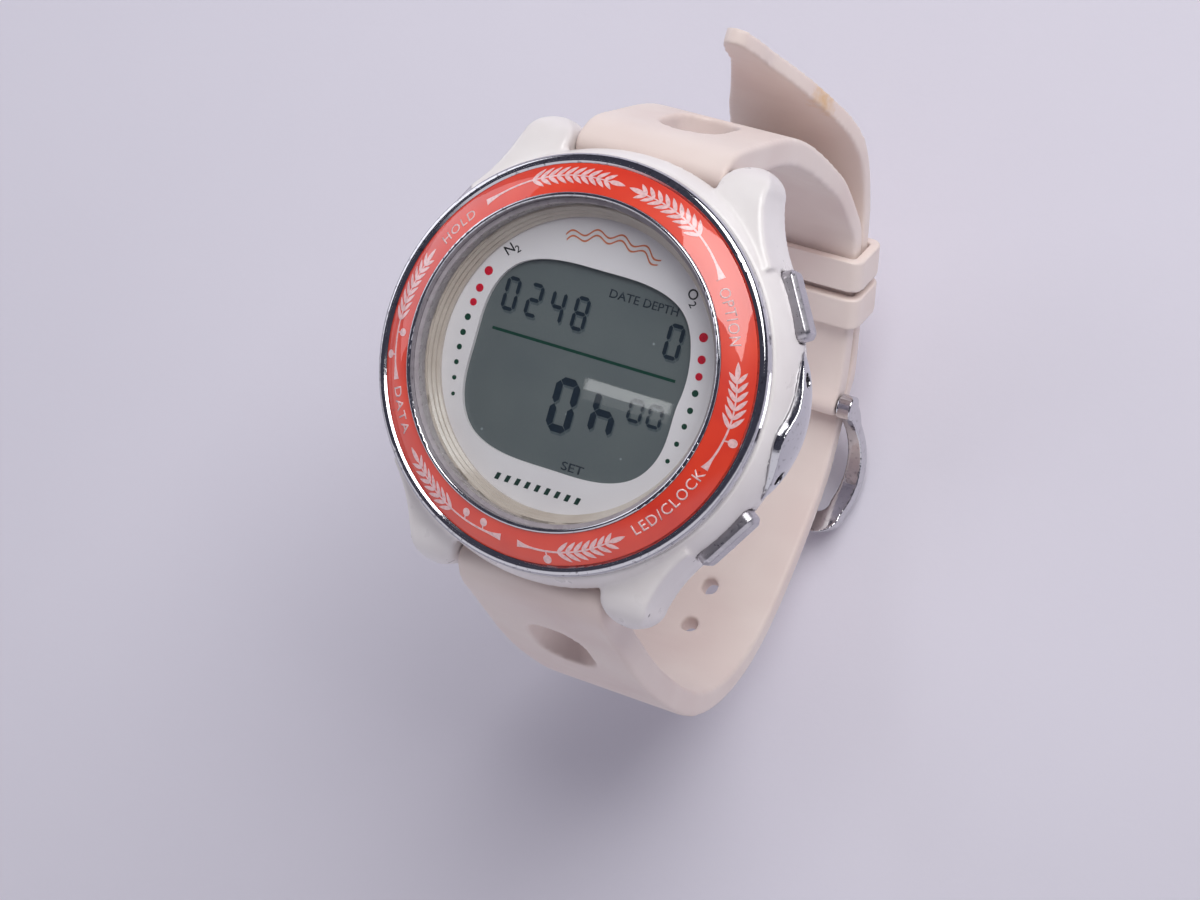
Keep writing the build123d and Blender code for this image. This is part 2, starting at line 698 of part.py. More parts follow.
def buckle_side_band():
    """The frame's side outline: a band that leaves the bar and bows clear of the strap."""
    middle = Spline(
        (BUCKLE_BAR_Y, BUCKLE_BAR_Z), (0.6, -57.6), (-3.8, -60.3), (-8.6, -60.9), (-14.6, -59.3)
    )
    return side_prism(trace(middle, BUCKLE_BAND_THICKNESS), -16, 16)


def buckle_frame():
    """The polished frame: eyes on the bar, flared arms and a cross bar under the tang's tip."""
    outer = make_face(
        [
            Line((10.9, BUCKLE_BAR_Y + 1.6), (10.9, 1.0)),
            ThreePointArc((10.9, 1.0), (12.3, -5.0), (11.4, -11.0)),
            ThreePointArc((11.4, -11.0), (10.3, -13.4), (7.8, -14.0)),
            ThreePointArc((7.8, -14.0), (0, -14.4), (-7.8, -14.0)),
            ThreePointArc((-7.8, -14.0), (-10.3, -13.4), (-11.4, -11.0)),
            ThreePointArc((-11.4, -11.0), (-12.3, -5.0), (-10.9, 1.0)),
            Line((-10.9, 1.0), (-10.9, BUCKLE_BAR_Y + 1.6)),
            Line((-10.9, BUCKLE_BAR_Y + 1.6), (10.9, BUCKLE_BAR_Y + 1.6)),
        ]
    )
    inner = make_face(
        [
            Line((9.2, BUCKLE_BAR_Y + 2), (9.2, 1.0)),
            ThreePointArc((9.2, 1.0), (10.2, -4.6), (9.4, -9.6)),
            ThreePointArc((9.4, -9.6), (9.0, -10.9), (7.8, -11.4)),
            ThreePointArc((7.8, -11.4), (0, -11.7), (-7.8, -11.4)),
            ThreePointArc((-7.8, -11.4), (-9.0, -10.9), (-9.4, -9.6)),
            ThreePointArc((-9.4, -9.6), (-10.2, -4.6), (-9.2, 1.0)),
            Line((-9.2, 1.0), (-9.2, BUCKLE_BAR_Y + 2)),
            Line((-9.2, BUCKLE_BAR_Y + 2), (9.2, BUCKLE_BAR_Y + 2)),
        ]
    )
    hoop = Pos(0, 0, -66) * extrude(outer - inner, 20)
    frame = hoop & buckle_side_band()
    for side in (-1, 1):
        frame += rod_along_x(1.6, side * 9.2, side * 11.1, BUCKLE_BAR_Y, BUCKLE_BAR_Z)
    return frame - rod_along_x(BUCKLE_BAR_R + 0.03, -10.75, 10.75, BUCKLE_BAR_Y, BUCKLE_BAR_Z)


def buckle_tang():
    """The tongue: an eye on the bar, a shank through the strap's hole and a tip on the cross bar."""
    middle = Spline(
        (BUCKLE_BAR_Y - 0.5, BUCKLE_BAR_Z - 1.2),
        (0.8, -56.8),
        (-1.0, -60.4),
        (-5.0, -62.4),
        (-14.2, -61.7),
        tangents=[(-0.5, -1), (-1, 0.25)],
    )
    shank = side_prism(trace(middle, TANG_THICKNESS), -TANG_WIDTH / 2, TANG_WIDTH / 2)
    eye_r, eye_width = TANG_EYE
    eye = rod_along_x(eye_r, -eye_width / 2, eye_width / 2, BUCKLE_BAR_Y, BUCKLE_BAR_Z)
    return (shank + eye) - rod_along_x(BUCKLE_BAR_R + 0.04, -3, 3, BUCKLE_BAR_Y, BUCKLE_BAR_Z)


# ---------------------------------------------------------------- write every sub-part

save("case_body", case_body())
save("bezel_ring", bezel_ring())
save("bezel_insert", bezel_insert())
save("crystal", crystal())
save("crystal_gasket", ring(GLASS_BORE_R, CRYSTAL_R + 0.02, CRYSTAL_BASE_Z + 0.05, CRYSTAL_TOP_Z - 0.1))
save("flange_ring", flange_ring())
save("dial_plate", dial_plate())
save("lcd_panel", block(LCD_SIZE, 8.15, 0, WINDOW_Y))
save("backlight_panel", block((24.0, 18.6, 0.6), 7.5, 0, WINDOW_Y))
save("zebra_strips", zebra_strips())
save("module_frame", module_frame())
save("circuit_board", circuit_board())
save("board_components", board_components())
save("piezo_buzzer", disc(4.2, CASE_BASE_Z, 1.6, 10.4, 6.2))
save("battery", battery())
save("battery_contact", battery_contact())
save("pressure_sensor", pressure_sensor())
save("sensor_seal", sensor_seal())
save("case_back", case_back())
save("case_back_gasket", ring(19.15, 18.45, CASE_BASE_Z, 1.7))
save("case_back_screws", case_back_screws())
save("side_guard_right", side_guard())
save("side_guard_left", mirrored(side_guard()))
save("side_guard_screws", guard_screws())
save("pusher_sleeves", pusher_sleeves())
save("spring_bar_upper", spring_bar(BAR_Y))
save("spring_bar_lower", spring_bar(-BAR_Y))
save("strap_upper", strap_upper())
save("strap_lower", strap_lower())
save("buckle_bar", buckle_bar())
save("buckle_frame", buckle_frame())
save("buckle_tang", buckle_tang())
for keeper_name, keeper_station in KEEPER_STATIONS.items():
    save(keeper_name, keeper(keeper_station))
for corner, corner_angle in PUSHER_ANGLES.items():
    save(f"pusher_{corner}", pusher(corner_angle))
    save(f"pusher_seal_{corner}", pusher_seal(corner_angle))
    save(f"pusher_clip_{corner}", pusher_clip(corner_angle))
    save(f"pusher_spring_{corner}", pusher_spring(corner_angle))
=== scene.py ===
"""Looks of the wrist dive computer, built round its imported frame.

The watch's sizes are in millimetres here and become metres where a mesh is made.  The sizes and distances
of the floor and the lamps are in metres.  The frame is the row's: +Z out of the dial, +Y to 12 o'clock,
origin on the case back.
"""

import bpy
import bmesh
from math import cos, hypot, pi, radians, sin, sqrt
from mathutils import Matrix, Vector


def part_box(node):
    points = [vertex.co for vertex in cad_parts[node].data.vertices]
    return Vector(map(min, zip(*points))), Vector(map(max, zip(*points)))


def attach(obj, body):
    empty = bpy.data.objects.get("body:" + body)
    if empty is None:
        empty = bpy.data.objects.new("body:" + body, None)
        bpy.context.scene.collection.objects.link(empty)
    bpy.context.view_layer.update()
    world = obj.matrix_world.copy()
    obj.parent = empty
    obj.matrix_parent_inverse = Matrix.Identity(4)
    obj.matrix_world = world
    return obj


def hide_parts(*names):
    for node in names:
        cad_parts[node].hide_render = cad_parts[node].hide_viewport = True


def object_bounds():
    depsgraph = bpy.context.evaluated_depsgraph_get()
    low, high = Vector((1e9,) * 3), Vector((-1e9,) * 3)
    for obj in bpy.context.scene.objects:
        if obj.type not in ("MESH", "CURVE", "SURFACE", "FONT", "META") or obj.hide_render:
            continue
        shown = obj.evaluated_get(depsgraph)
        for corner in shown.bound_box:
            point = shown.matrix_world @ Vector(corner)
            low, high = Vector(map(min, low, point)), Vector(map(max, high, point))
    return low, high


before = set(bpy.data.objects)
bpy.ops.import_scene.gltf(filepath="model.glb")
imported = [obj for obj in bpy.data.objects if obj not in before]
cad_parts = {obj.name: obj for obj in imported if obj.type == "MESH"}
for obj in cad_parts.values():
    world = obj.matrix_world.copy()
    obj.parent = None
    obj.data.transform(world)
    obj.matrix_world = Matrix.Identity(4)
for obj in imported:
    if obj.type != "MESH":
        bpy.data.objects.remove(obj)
cad_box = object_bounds()

MM = 0.001
WATCH = "watch"
CORNERS = ("upper_right", "upper_left", "lower_left", "lower_right")


def top_of(node):
    """The highest point of a CAD node, in millimetres."""
    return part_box(node)[1].z / MM


# ---------------------------------------------------------------- finishes


def rgb(red, green, blue):
    """A colour given in screen values of 0 to 255, as the linear colour that shaders use."""
    channels = []
    for value in (red, green, blue):
        share = value / 255
        channels.append(share / 12.92 if share <= 0.04045 else ((share + 0.055) / 1.055) ** 2.4)
    return (*channels, 1.0)


# How far from its middle a speck has faded out, and up to where it is full, as shares of its cell
SPECK_FADE = (0.13, 0.06)
# The colour sockets of Blender's Mix node
MIX_FIRST, MIX_SECOND, MIX_RESULT = 6, 7, 2


class Finish:
    """A Principled material under construction, with short calls for the nodes that vary it."""

    def __init__(self, name, colour, roughness, metallic=0.0):
        self.material = bpy.data.materials.new(name)
        self.material.use_nodes = True
        self.tree = self.material.node_tree
        self.shader = self.tree.nodes["Principled BSDF"]
        self.shader.inputs["Base Color"].default_value = colour
        self.shader.inputs["Roughness"].default_value = roughness
        self.shader.inputs["Metallic"].default_value = metallic
        self.place = self.tree.nodes.new("ShaderNodeTexCoord").outputs["Object"]

    def node(self, kind, inputs=(), **settings):
        """A new node with its settings and its inputs, each a value or another node's output."""
        made = self.tree.nodes.new(kind)
        for key, value in settings.items():
            setattr(made, key, value)
        for key, value in dict(inputs).items():
            if isinstance(value, bpy.types.NodeSocket):
                self.tree.links.new(value, made.inputs[key])
            else:
                made.inputs[key].default_value = value
        return made

    def noise(self, size_mm, detail=3.0, stretch=(1, 1, 1)):
        """Cloudy noise with features of about size_mm, stretched along any axis."""
        place = self.node("ShaderNodeMapping", {"Vector": self.place, "Scale": stretch}).outputs[0]
        inputs = {"Vector": place, "Scale": 1 / (size_mm * MM), "Detail": detail}
        return self.node("ShaderNodeTexNoise", inputs).outputs["Fac"]

    def specks(self, spacing_mm, share):
        """1 in small round specks, one to each spacing_mm cell at most, and 0 elsewhere."""
        inputs = {"Vector": self.place, "Scale": 1 / (spacing_mm * MM)}
        cells = self.node("ShaderNodeTexVoronoi", inputs)
        near = self.between(cells.outputs["Distance"], *SPECK_FADE)
        chosen = self.node("ShaderNodeSeparateColor", {"Color": cells.outputs["Color"]}).outputs[0]
        keep = self.node("ShaderNodeMath", {0: chosen, 1: share}, operation="LESS_THAN").outputs[0]
        return self.node("ShaderNodeMath", {0: near, 1: keep}, operation="MULTIPLY").outputs[0]

    def between(self, value, low, high, to_low=0.0, to_high=1.0):
        """value taken from the range low to high into another range, and held there."""
        inputs = {"Value": value, "From Min": low, "From Max": high, "To Min": to_low, "To Max": to_high}
        return self.node("ShaderNodeMapRange", inputs).outputs[0]

    def mix(self, share, first, second):
        """A colour that goes from first to second with share."""
        made = self.node("ShaderNodeMix", {0: share}, data_type="RGBA")
        for socket, value in ((made.inputs[MIX_FIRST], first), (made.inputs[MIX_SECOND], second)):
            if isinstance(value, bpy.types.NodeSocket):
                self.tree.links.new(value, socket)
            else:
                socket.default_value = value
        return made.outputs[MIX_RESULT]

    def link(self, output, socket):
        """Feed the shader's own socket."""
        self.tree.links.new(output, self.shader.inputs[socket])

    def bump(self, height, depth_mm):
        """Fine relief of depth_mm from a height of 0 to 1."""
        inputs = {"Height": height, "Distance": depth_mm * MM, "Strength": 1.0}
        self.link(self.node("ShaderNodeBump", inputs).outputs[0], "Normal")

    def coat(self, weight, roughness):
        """A clear gloss over the colour."""
        self.shader.inputs["Coat Weight"].default_value = weight
        self.shader.inputs["Coat Roughness"].default_value = roughness


def case_plastic():
    """Glossy warm white moulding with tiny dark specks and faint grime."""
    finish = Finish("case_plastic", rgb(236, 230, 228), 0.3)
    cloud = finish.between(finish.noise(9.0), 0.35, 0.7)
    tint = finish.mix(cloud, rgb(240, 235, 233), rgb(228, 221, 219))
    speckled = finish.mix(finish.specks(2.4, 0.16), tint, rgb(120, 108, 110))
    finish.link(speckled, "Base Color")
    finish.link(finish.between(finish.noise(3.0), 0.3, 0.7, 0.27, 0.33), "Roughness")
    finish.bump(finish.noise(0.4, 1.0), 0.001)
    finish.coat(0.15, 0.08)
    return finish.material


STAIN_PLACE = Vector((7.2, 37.4, -24.5))
STAIN_CORE_R = 0.6
STAIN_RIM_R = 3.4
STAIN_RAGGED = 1.2
STAIN_STRENGTH = 0.75


def strap_rubber():
    """Cream satin rubber, a little rosy in places, with fine grain and one yellow stain on the tail."""
    finish = Finish("strap_rubber", rgb(232, 216, 208), 0.5)
    cloud = finish.between(finish.noise(14.0, 2.0), 0.35, 0.7)
    tint = finish.mix(cloud, rgb(236, 221, 213), rgb(226, 206, 199))
    ends = {0: finish.place, 1: STAIN_PLACE * MM}
    away = finish.node("ShaderNodeVectorMath", ends, operation="DISTANCE").outputs["Value"]
    ragged = finish.between(finish.noise(1.2), 0.3, 0.7, -STAIN_RAGGED * MM, STAIN_RAGGED * MM)
    reach = finish.node("ShaderNodeMath", {0: away, 1: ragged}, operation="ADD").outputs[0]
    stain = finish.between(reach, STAIN_RIM_R * MM, STAIN_CORE_R * MM, 0.0, STAIN_STRENGTH)
    finish.link(finish.mix(stain, tint, rgb(222, 178, 118)), "Base Color")
    finish.link(finish.between(finish.noise(2.5), 0.3, 0.7, 0.42, 0.56), "Roughness")
    finish.bump(finish.noise(0.16, 3.0), 0.006)
    finish.shader.inputs["Sheen Weight"].default_value = 0.15
    return finish.material


def polished_steel():
    """Mirror polish with hairline scratches and small nicks."""
    finish = Finish("polished_steel", rgb(205, 204, 208), 0.08, 1.0)
    marks = finish.noise(0.5, 4.0)
    finish.link(finish.between(finish.noise(3.0), 0.35, 0.7, 0.05, 0.16), "Roughness")
    nicked = finish.between(marks, 0.58, 0.72)
    finish.link(finish.mix(nicked, rgb(205, 204, 208), rgb(155, 153, 157)), "Base Color")
    finish.bump(marks, 0.006)
    return finish.material


def satin_steel():
    """Steel with a fine satin grain."""
    finish = Finish("satin_steel", rgb(196, 193, 198), 0.3, 1.0)
    grain = finish.noise(0.22, 2.0, stretch=(1, 1, 0.12))
    finish.link(finish.between(grain, 0.3, 0.7, 0.26, 0.42), "Roughness")
    finish.link(finish.mix(finish.noise(2.0), rgb(206, 203, 207), rgb(176, 172, 178)), "Base Color")
    finish.bump(grain, 0.004)
    return finish.material


def dark_steel():
    """Screws darkened as painted shade for the shadow that they sit in, and gone dull."""
    # The dark base colour is painted shade for the screws' shadowed place; the mottling below is dull wear.
    finish = Finish("dark_steel", rgb(92, 88, 94), 0.4, 1.0)
    finish.link(finish.mix(finish.noise(0.4), rgb(112, 108, 112), rgb(60, 56, 60)), "Base Color")
    finish.bump(finish.noise(0.12), 0.01)
    return finish.material


def bezel_orange():
    """Vermilion print under a clear domed coat."""
    finish = Finish("bezel_orange", rgb(228, 56, 26), 0.45)
    cloud = finish.between(finish.noise(5.0, 2.0), 0.35, 0.7)
    tint = finish.mix(cloud, rgb(232, 62, 28), rgb(216, 46, 22))
    finish.link(finish.mix(finish.specks(1.3, 0.1), tint, rgb(176, 40, 26)), "Base Color")
    finish.bump(finish.noise(2.2, 1.0), 0.01)
    finish.coat(1.0, 0.02)
    return finish.material


def print_ink(name, colour, roughness=0.4, coat=0.0):
    """Screen-printed ink, slightly uneven."""
    finish = Finish(name, rgb(*colour), roughness)
    darker = [value * 0.86 for value in colour]
    uneven = finish.between(finish.noise(0.35, 3.0), 0.4, 0.75)
    finish.link(finish.mix(uneven, rgb(*colour), rgb(*darker)), "Base Color")
    finish.link(finish.between(finish.noise(0.8), 0.3, 0.7, roughness - 0.06, roughness + 0.06), "Roughness")
    if coat:
        finish.coat(coat, 0.02)
    return finish.material


def flange_plastic():
    """The pearly beige wall round the dial, with fine turned lines."""
    finish = Finish("flange_plastic", rgb(206, 192, 180), 0.28)
    tint = finish.mix(finish.noise(3.0), rgb(214, 202, 192), rgb(184, 168, 156))
    finish.link(tint, "Base Color")
    lines = finish.noise(0.12, 1.0, stretch=(0.02, 0.02, 1))
    finish.bump(lines, 0.01)
    finish.coat(0.5, 0.1)
    return finish.material


def dial_white():
    """Matt white dial paint."""
    finish = Finish("dial_white", rgb(240, 234, 236), 0.42)
    finish.link(finish.mix(finish.noise(6.0), rgb(244, 239, 241), rgb(232, 225, 228)), "Base Color")
    finish.bump(finish.noise(0.2), 0.003)
    return finish.material


def lcd_glass():
    """Grey-green display with a fine reflector grain and a little dust."""
    finish = Finish("lcd_glass", rgb(104, 112, 112), 0.38)
    cloud = finish.mix(finish.noise(7.0, 1.0), rgb(112, 118, 117), rgb(98, 105, 107))
    grain = finish.mix(finish.between(finish.noise(0.12, 1.0), 0.3, 0.7, 0.0, 0.25), cloud, rgb(80, 90, 96))
    finish.link(finish.mix(finish.specks(1.5, 0.12), grain, rgb(150, 158, 160)), "Base Color")
    finish.bump(finish.noise(0.1, 1.0), 0.002)
    return finish.material


def rough_plastic(name, colour, colour_two, roughness=0.55, grain_mm=0.3):
    """Plain moulded or coated surface with mottling and grain, for the inner pieces."""
    finish = Finish(name, rgb(*colour), roughness)
    finish.link(finish.mix(finish.noise(1.4), rgb(*colour), rgb(*colour_two)), "Base Color")
    spread = finish.between(finish.noise(0.8), 0.3, 0.7, roughness - 0.08, roughness + 0.08)
    finish.link(spread, "Roughness")
    finish.bump(finish.noise(grain_mm), 0.008)
    return finish.material


def brass():
    """The buzzer's metal disc."""
    finish = Finish("brass", rgb(200, 164, 92), 0.32, 1.0)
    finish.link(finish.mix(finish.noise(1.0), rgb(206, 170, 96), rgb(170, 134, 74)), "Base Color")
    finish.bump(finish.noise(0.2), 0.004)
    return finish.material


# How much the glass mirrors face on, how much more edge on, and how late that rise comes
GLASS_MIRROR = 0.04
GLASS_EDGE_MIRROR = 0.9
GLASS_MIRROR_POWER = 5.0


def crystal_glass():
    """Clear flat glass: it lets light straight through and mirrors more at a slant."""
    finish = Finish("crystal_glass", rgb(255, 255, 255), 0.02)
    nodes, links = finish.tree.nodes, finish.tree.links
    clear = finish.node("ShaderNodeBsdfTransparent", {"Color": (0.97, 0.98, 0.98, 1)})
    smear = finish.between(finish.noise(6.0, 3.0), 0.4, 0.75, 0.006, 0.02)
    mirror = finish.node("ShaderNodeBsdfGlossy", {"Roughness": smear})
    slant = finish.node("ShaderNodeLayerWeight", {"Blend": 0.5}).outputs["Facing"]
    steep = finish.node("ShaderNodeMath", {0: slant, 1: GLASS_MIRROR_POWER}, operation="POWER").outputs[0]
    inputs = {0: steep, 1: GLASS_EDGE_MIRROR, 2: GLASS_MIRROR}
    share = finish.node("ShaderNodeMath", inputs, operation="MULTIPLY_ADD")
    both = nodes.new("ShaderNodeMixShader")
    links.new(share.outputs[0], both.inputs[0])
    links.new(clear.outputs[0], both.inputs[1])
    links.new(mirror.outputs[0], both.inputs[2])
    links.new(both.outputs[0], nodes["Material Output"].inputs["Surface"])
    nodes.remove(finish.shader)
    return finish.material


FINISHES = {
    "case_plastic": case_plastic(),
    "polished_steel": polished_steel(),
    "satin_steel": satin_steel(),
    "dark_steel": dark_steel(),
    "bezel_orange": bezel_orange(),
    "crystal_glass": crystal_glass(),
    "flange_plastic": flange_plastic(),
    "dial_white": dial_white(),
    "lcd_glass": lcd_glass(),
    "backlight_film": rough_plastic("backlight_film", (206, 218, 212), (190, 206, 200)),
    "module_plastic": rough_plastic("module_plastic", (46, 46, 50), (30, 30, 34)),
    "board_green": rough_plastic("board_green", (28, 92, 58), (20, 70, 46), 0.4),
    "component_black": rough_plastic("component_black", (34, 34, 36), (22, 22, 24)),
    "brass": brass(),
    "gasket_rubber": rough_plastic("gasket_rubber", (52, 50, 52), (36, 34, 36), 0.7),
    "strap_rubber": strap_rubber(),
}
# Nodes that look unlike the rest of their slot
OWN_FINISHES = {
    "crystal_gasket": rough_plastic("gasket_clear", (176, 168, 172), (142, 134, 138), 0.3, 0.6),
}


def paint_frame():
    """Give every CAD node its finish, by the name of the material slot that the record gave it."""
    for name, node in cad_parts.items():
        for index, old in enumerate(node.data.materials):
            node.data.materials[index] = OWN_FINISHES.get(name) or FINISHES[old.name.split(".")[0]]


# ---------------------------------------------------------------- mesh tools

MERGE_DISTANCE = 1e-4


def place_piece(piece, body, slot, nodes=(), material=None):
    """Put a finished piece in the scene on its body, in place of the CAD nodes that it stands for."""
    piece.data.materials.clear()
    piece.data.materials.append(material or FINISHES[slot])
    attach(piece, body)
    if nodes:
        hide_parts(*nodes)


def new_object(name, mesh):
    """An object for a mesh, linked to the scene."""
    made = bpy.data.objects.new(name, mesh)
    bpy.context.scene.collection.objects.link(made)
    return made


def apply_modifiers(piece):
    """Turn a piece's modifiers into mesh."""
    graph = bpy.context.evaluated_depsgraph_get()
    mesh = bpy.data.meshes.new_from_object(piece.evaluated_get(graph))
    piece.modifiers.clear()
    piece.data = mesh


def soften(node, grain, passes, body, slot):
    """Replace a CAD node with a copy rebuilt on an even grid and smoothed, so that its edges are rounded."""
    piece = new_object(f"{node}_eased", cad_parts[node].data.copy())
    remesh = piece.modifiers.new("grid", "REMESH")
    remesh.mode = "VOXEL"
    remesh.voxel_size = grain * MM
    smooth = piece.modifiers.new("ease", "SMOOTH")
    smooth.factor = 0.5
    smooth.iterations = passes
    apply_modifiers(piece)
    piece.data.shade_smooth()
    place_piece(piece, body, slot, (node,))


def sheet_mesh(name, shapes, place, thickness):
    """Thin closed shapes of ink, each a list of rows of (x, y) points, laid on a surface by place(x, y)."""
    build = bmesh.new()
    for rows in shapes:
        grid = [[build.verts.new(place(x, y) * MM) for x, y in row] for row in rows]
        for lower, upper in zip(grid, grid[1:]):
            for index in range(len(lower) - 1):
                build.faces.new((lower[index], lower[index + 1], upper[index + 1], upper[index]))
    bmesh.ops.remove_doubles(build, verts=build.verts, dist=MERGE_DISTANCE * MM)
    bmesh.ops.recalc_face_normals(build, faces=build.faces)
    return solid_ink(name, build, thickness)


def solid_ink(name, build, thickness):
    """Close an open sheet into a body of ink, facing outward."""
    for face in build.faces:
        if face.normal.z < 0:
            face.normal_flip()
    mesh = bpy.data.meshes.new(name)
    build.to_mesh(mesh)
    build.free()
    piece = new_object(name, mesh)
    body = piece.modifiers.new("ink", "SOLIDIFY")
    body.thickness = thickness * MM
    body.offset = -1
    apply_modifiers(piece)
    return piece


# ---------------------------------------------------------------- bezel

INSERT_INNER = (18.02, 14.0)
INSERT_CROWN = (19.75, 13.25)
INSERT_OUTER = (21.33, 12.2)
INSERT_MID_R = 19.6
INK_LIFT = 0.035
INK_THICKNESS = 0.05


def circle_through(first, second, third):
    """The centre and radius of the circle through three (x, y) points."""
    ax, ay = first
    bx, by = second
    cx, cy = third
    cross = 2 * (ax * (by - cy) + bx * (cy - ay) + cx * (ay - by))
    a2, b2, c2 = ax * ax + ay * ay, bx * bx + by * by, cx * cx + cy * cy
    x = (a2 * (by - cy) + b2 * (cy - ay) + c2 * (ay - by)) / cross
    y = (a2 * (cx - bx) + b2 * (ax - cx) + c2 * (bx - ax)) / cross
    return x, y, hypot(ax - x, ay - y)


DOME_X, DOME_Z, DOME_R = circle_through(INSERT_INNER, INSERT_CROWN, INSERT_OUTER)


def dome_height(radius):
    """The insert's height at a distance from the dial's middle."""
    return DOME_Z + sqrt(DOME_R * DOME_R - (radius - DOME_X) ** 2)


def on_insert(angle, radius):
    """A point just above the insert, at an angle in degrees and a radius."""
    turn = radians(angle)
    return Vector((radius * cos(turn), radius * sin(turn), dome_height(radius) + INK_LIFT))


LEAF_PITCH = 0.92
LEAF_LENGTHS = (1.75, 1.4)
LEAF_WIDTH = 0.42
LEAF_TURN = 36
# Length and width of the leaf at a sprig's tip
TIP_LEAF = (1.9, 0.5)
# Exponents that put a leaf's widest place nearer its foot and fill out its sides
LEAF_LEAN = 0.8
LEAF_FULLNESS = 0.75
STEM_TO_TIP = 1.4
STEM_WANDER = 0.35
STEM_HALF_WIDTH = 0.11
STEM_THINNING = 0.05
STEM_FLARE = 0.26
STEM_FOOT_SHARE = 1 / 7
STALK_HEIGHT = 0.5
BERRY_HEIGHT = 0.85
BERRY_R = 0.44
# Half the width that is left where a leaf or a disc ends
LEAF_END = 0.01
DISC_END = 0.004


def leaf_rows(length, width, steps=8):
    """A pointed leaf along x, from its foot at 0 to its tip, as two edges and a mid line."""
    low, middle, high = [], [], []
    for step in range(steps + 1):
        share = step / steps
        half = LEAF_END
        if 0 < step < steps:
            half = width / 2 * sin(pi * share ** LEAF_LEAN) ** LEAF_FULLNESS
        low.append((length * share, -half))
        middle.append((length * share, 0.0))
        high.append((length * share, half))
    return [low, middle, high]


def disc_rows(x, y, radius, steps=14):
    """A round shape as rows across it."""
    rows = []
    for step in range(steps + 1):
        turn = pi * step / steps
        half = max(radius * sin(turn), DISC_END)
        rows.append([(x - radius * cos(turn), y + half * side) for side in (-1, 0, 1)])
    return rows


def moved(rows, x, y, turn=0.0):
    """Rows turned by an angle in degrees and moved to x, y."""
    c, s = cos(radians(turn)), sin(radians(turn))
    return [[(x + px * c - py * s, y + px * s + py * c) for px, py in row] for row in rows]


def stem_rows(length, steps=24):
    """A stem with a flared foot that wanders a little and thins towards its tip."""
    rows = []
    for step in range(steps + 1):
        share = step / steps
        flare = STEM_FLARE * max(0.0, 1 - share / STEM_FOOT_SHARE) ** 1.5
        half = STEM_HALF_WIDTH - STEM_THINNING * share + flare
        y = STEM_WANDER * sin(pi * share)
        rows.append([(length * share, y - half), (length * share, y + half)])
    return rows


def berry_shapes(x, y, side):
    """A berry on a short stalk, to one side of a stem at x, y."""
    foot = [(x, y - 0.07 * side), (x + 0.15, y)]
    top = [(x + 0.1, y + STALK_HEIGHT * side), (x + 0.24, y + STALK_HEIGHT * side)]
    return [[foot, top], disc_rows(x + 0.17, y + BERRY_HEIGHT * side, BERRY_R)]


def sprig_shapes(length, leafy_from, berries):
    """A generic sprig along x: a stem, even pairs of leaves, a leaf at the tip, and berries on stalks."""
    stem = length - STEM_TO_TIP
    shapes = [stem_rows(stem)]
    pairs = round((stem - leafy_from) / LEAF_PITCH)
    long_leaf, short_leaf = LEAF_LENGTHS
    for pair in range(pairs):
        x = leafy_from + pair * LEAF_PITCH
        y = STEM_WANDER * sin(pi * x / stem)
        size = long_leaf - (long_leaf - short_leaf) * pair / pairs
        for side in (-1, 1):
            shapes.append(moved(leaf_rows(size, LEAF_WIDTH), x, y, side * LEAF_TURN))
    shapes.append(moved(leaf_rows(*TIP_LEAF), length - TIP_LEAF[0], 0.05))
    for x, side in berries:
        shapes += berry_shapes(x, STEM_WANDER * sin(pi * x / stem), side)
    return shapes


# Each sprig runs from a foot to a tip, in degrees about the dial: foot, tip, start of the leaves, berries
SPRIGS = (
    (134.0, 86.0, 5.6, ()),
    (41.5, 84.5, 5.2, ()),
    (-18.5, 15.5, 4.8, ((3.4, 1),)),
    (-88.0, -51.5, 4.6, ((3.2, 1),)),
    (-94.0, -137.0, 6.6, ((2.2, -1), (4.6, -1))),
    (200.5, 156.5, 6.4, ((2.6, 1), (5.0, -1))),
)


def bezel_sprigs():
    """The sprigs printed round the insert."""
    ink = print_ink("sprig_ink", (240, 196, 196), 0.4, coat=1.0)
    for number, (foot, tip, leafy_from, berries) in enumerate(SPRIGS, 1):
        sense = 1 if tip > foot else -1
        length = abs(radians(tip - foot)) * INSERT_MID_R

        def place(x, y, foot=foot, sense=sense):
            angle = foot + sense * x / INSERT_MID_R * 180 / pi
            return on_insert(angle, INSERT_MID_R + y)

        shapes = sprig_shapes(length, leafy_from, berries)
        piece = sheet_mesh(f"bezel_sprig_{number}", shapes, place, INK_THICKNESS)
        place_piece(piece, WATCH, "dial_white", material=ink)


FONT_SIZE_PER_CAP_HEIGHT = 1.37


def text_mesh(name, words, height, spacing, bold):
    """Words in the built-in font as a flat mesh in millimetres, from the left end of the base line."""
    curve = bpy.data.curves.new(name, "FONT")
    curve.body = words
    curve.size = height * FONT_SIZE_PER_CAP_HEIGHT
    curve.space_character = spacing
    curve.offset = bold
    curve.resolution_u = 3
    holder = bpy.data.objects.new(name, curve)
    mesh = bpy.data.meshes.new_from_object(holder)
    bpy.data.objects.remove(holder)
    bpy.data.curves.remove(curve)
    return mesh


def printed_words(name, words, height, place, material, slot, bold, width=None, spacing=1.0):
    """Words laid on a surface by place(x, y), stretched to a given width if there is one."""
    mesh = text_mesh(name, words, height, spacing, bold)
    reach = max(vertex.co.x for vertex in mesh.vertices)
    stretch = width / reach if width else 1.0
    build = bmesh.new()
    build.from_mesh(mesh)
    bmesh.ops.remove_doubles(build, verts=build.verts, dist=MERGE_DISTANCE)
    for vertex in build.verts:
        vertex.co = place(vertex.co.x * stretch, vertex.co.y) * MM
    bmesh.ops.recalc_face_normals(build, faces=build.faces)
    bpy.data.meshes.remove(mesh)
    place_piece(solid_ink(name, build, INK_THICKNESS), WATCH, slot, material=material)


